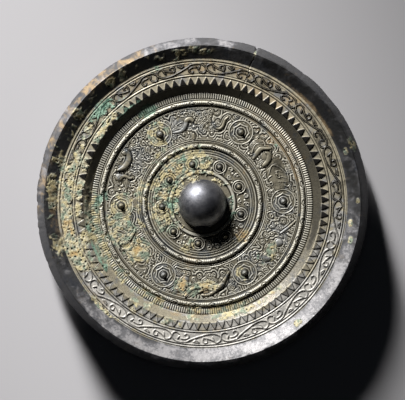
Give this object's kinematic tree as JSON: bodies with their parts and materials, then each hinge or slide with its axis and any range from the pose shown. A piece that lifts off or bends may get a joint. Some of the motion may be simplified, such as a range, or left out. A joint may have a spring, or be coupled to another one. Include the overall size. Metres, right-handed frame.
{
  "type": "ancient bronze mirror",
  "caption": "Round cast bronze mirror with a triangular rim, a domed boss pierced for a cord, and rings of beasts, scrolls and nipples on its back.",
  "frame": {"origin": "centre of the underside, on the flat spot of the reflecting face", "axes": "+Z from the reflecting face towards the decorated back and its boss, +Y along the cord tunnel"},
  "size_m": [0.205, 0.205, 0.017],
  "materials": {
    "patinated_bronze": "dark cast bronze with cream, ochre and green patina"
  },
  "bodies": {
    "root": {"bronze_mirror": "patinated_bronze"}
  },
  "joints": []
}
